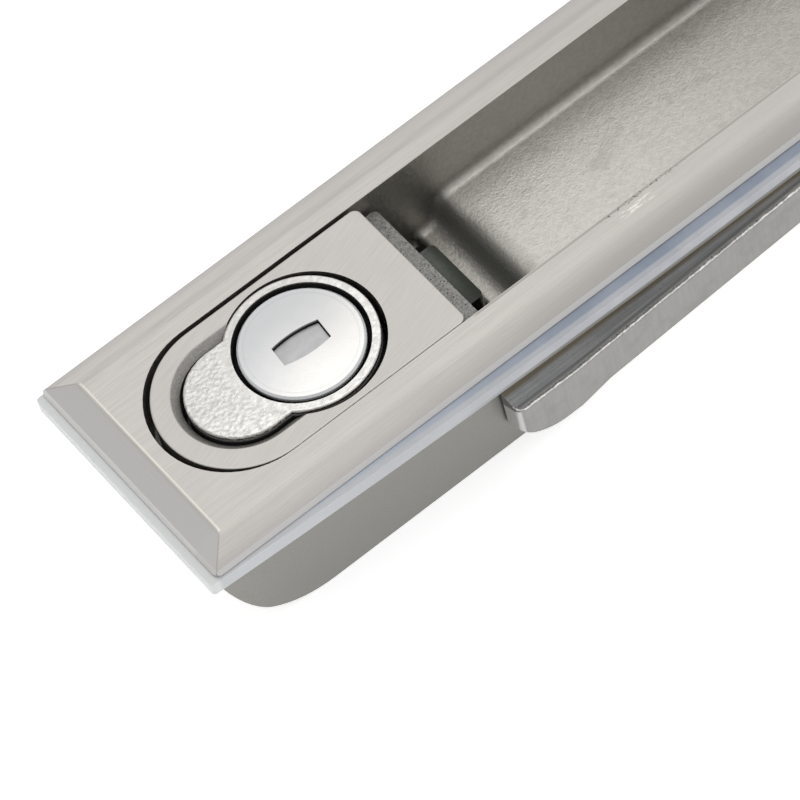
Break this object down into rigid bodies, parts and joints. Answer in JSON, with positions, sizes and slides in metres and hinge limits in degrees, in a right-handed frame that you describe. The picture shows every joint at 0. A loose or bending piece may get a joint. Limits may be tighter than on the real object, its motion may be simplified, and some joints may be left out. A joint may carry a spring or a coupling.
{
  "type": "swing handle lock",
  "caption": "Flush panel lock with a lift-and-swing handle, a push-button release round a key plug, a spring catch and a cranked latch cam behind.",
  "frame": {"origin": "middle of the flange's length and width, on the panel's face under the gasket", "axes": "+X along the flange from the keyed end to the spindle end, +Y to the side the open handle points to, +Z out of the panel"},
  "size_m": [0.142, 0.0925, 0.0605],
  "materials": {
    "brushed_stainless": "brushed face, cast back",
    "brushed_stainless_button": "brushed",
    "gasket_silicone": "soft, milky",
    "cast_bright": "rough cast, plated",
    "screw_steel": "plated",
    "cover_steel": "rolled",
    "tray_steel": "plated",
    "spring_steel": "drawn wire",
    "bush_bronze": "turned",
    "washer_plastic": "matt",
    "pin_steel": "ground",
    "catch_steel": "smooth, grey-green",
    "plug_satin": "satin",
    "tail_steel": "stamped",
    "shutter_grey": "matt",
    "spindle_stainless": "turned",
    "cam_stainless": "polished top, ground sides",
    "handle_stainless": "brushed"
  },
  "bodies": {
    "base": {"base_housing": "brushed_stainless", "flange_gasket": "gasket_silicone", "lock_insert": "cast_bright", "insert_screws": "screw_steel", "case_cover": "cover_steel", "cover_screws": "screw_steel", "catch_tray": "tray_steel", "catch_spring": "spring_steel", "button_springs": "spring_steel", "spindle_bush": "bush_bronze", "thrust_washer": "washer_plastic", "stop_pin": "screw_steel"},
    "button": {"push_button": "brushed_stainless_button", "guide_pins": "pin_steel", "guide_clips": "spring_steel"},
    "catch": {"catch_slide": "catch_steel"},
    "plug": {"plug_barrel": "plug_satin", "tail_cam": "tail_steel", "tail_screw": "screw_steel", "shutter_spring": "spring_steel"},
    "shutter": {"keyhole_shutter": "shutter_grey"},
    "spindle": {"spindle_fork": "spindle_stainless", "pivot_pin": "pin_steel", "popup_springs": "spring_steel", "latch_cam": "cam_stainless", "cam_washer": "tray_steel", "cam_screw": "screw_steel"},
    "handle": {"handle_lever": "handle_stainless"}
  },
  "joints": [
    {"name": "handle_swing", "type": "hinge", "parent": "base", "child": "spindle", "pos_m": [0.052, 0, 0], "axis": [0, 0, 1], "range_deg": [0, 90]},
    {"name": "handle_lift", "type": "hinge", "parent": "spindle", "child": "handle", "pos_m": [0.052, 0, 0.002], "axis": [1, 0, 0], "range_deg": [-25, 0], "stiffness_Nm_per_rad": 0.1, "springref_deg": 34.38},
    {"name": "button_press", "type": "slide", "parent": "base", "child": "button", "axis": [0, 0, -1], "range_m": [0, 0.0025], "stiffness_N_per_m": 800, "springref_m": -0.0015, "deforming": ["button_springs"]},
    {"name": "catch_retract", "type": "slide", "parent": "base", "child": "catch", "axis": [-1, 0, 0], "range_m": [0, 0.002], "stiffness_N_per_m": 300, "springref_m": -0.002, "deforming": ["catch_spring"]},
    {"name": "plug_turn", "type": "hinge", "parent": "base", "child": "plug", "pos_m": [-0.0446, 0, 0], "axis": [0, 0, -1], "range_deg": [0, 90]},
    {"name": "shutter_push", "type": "slide", "parent": "plug", "child": "shutter", "axis": [0, 0, -1], "range_m": [0, 0.002], "stiffness_N_per_m": 100, "springref_m": -0.001, "deforming": ["shutter_spring"]}
  ],
  "couplings": [
    {"joint": "catch_retract", "follows": "button_press", "ratio": 0.8}
  ]
}
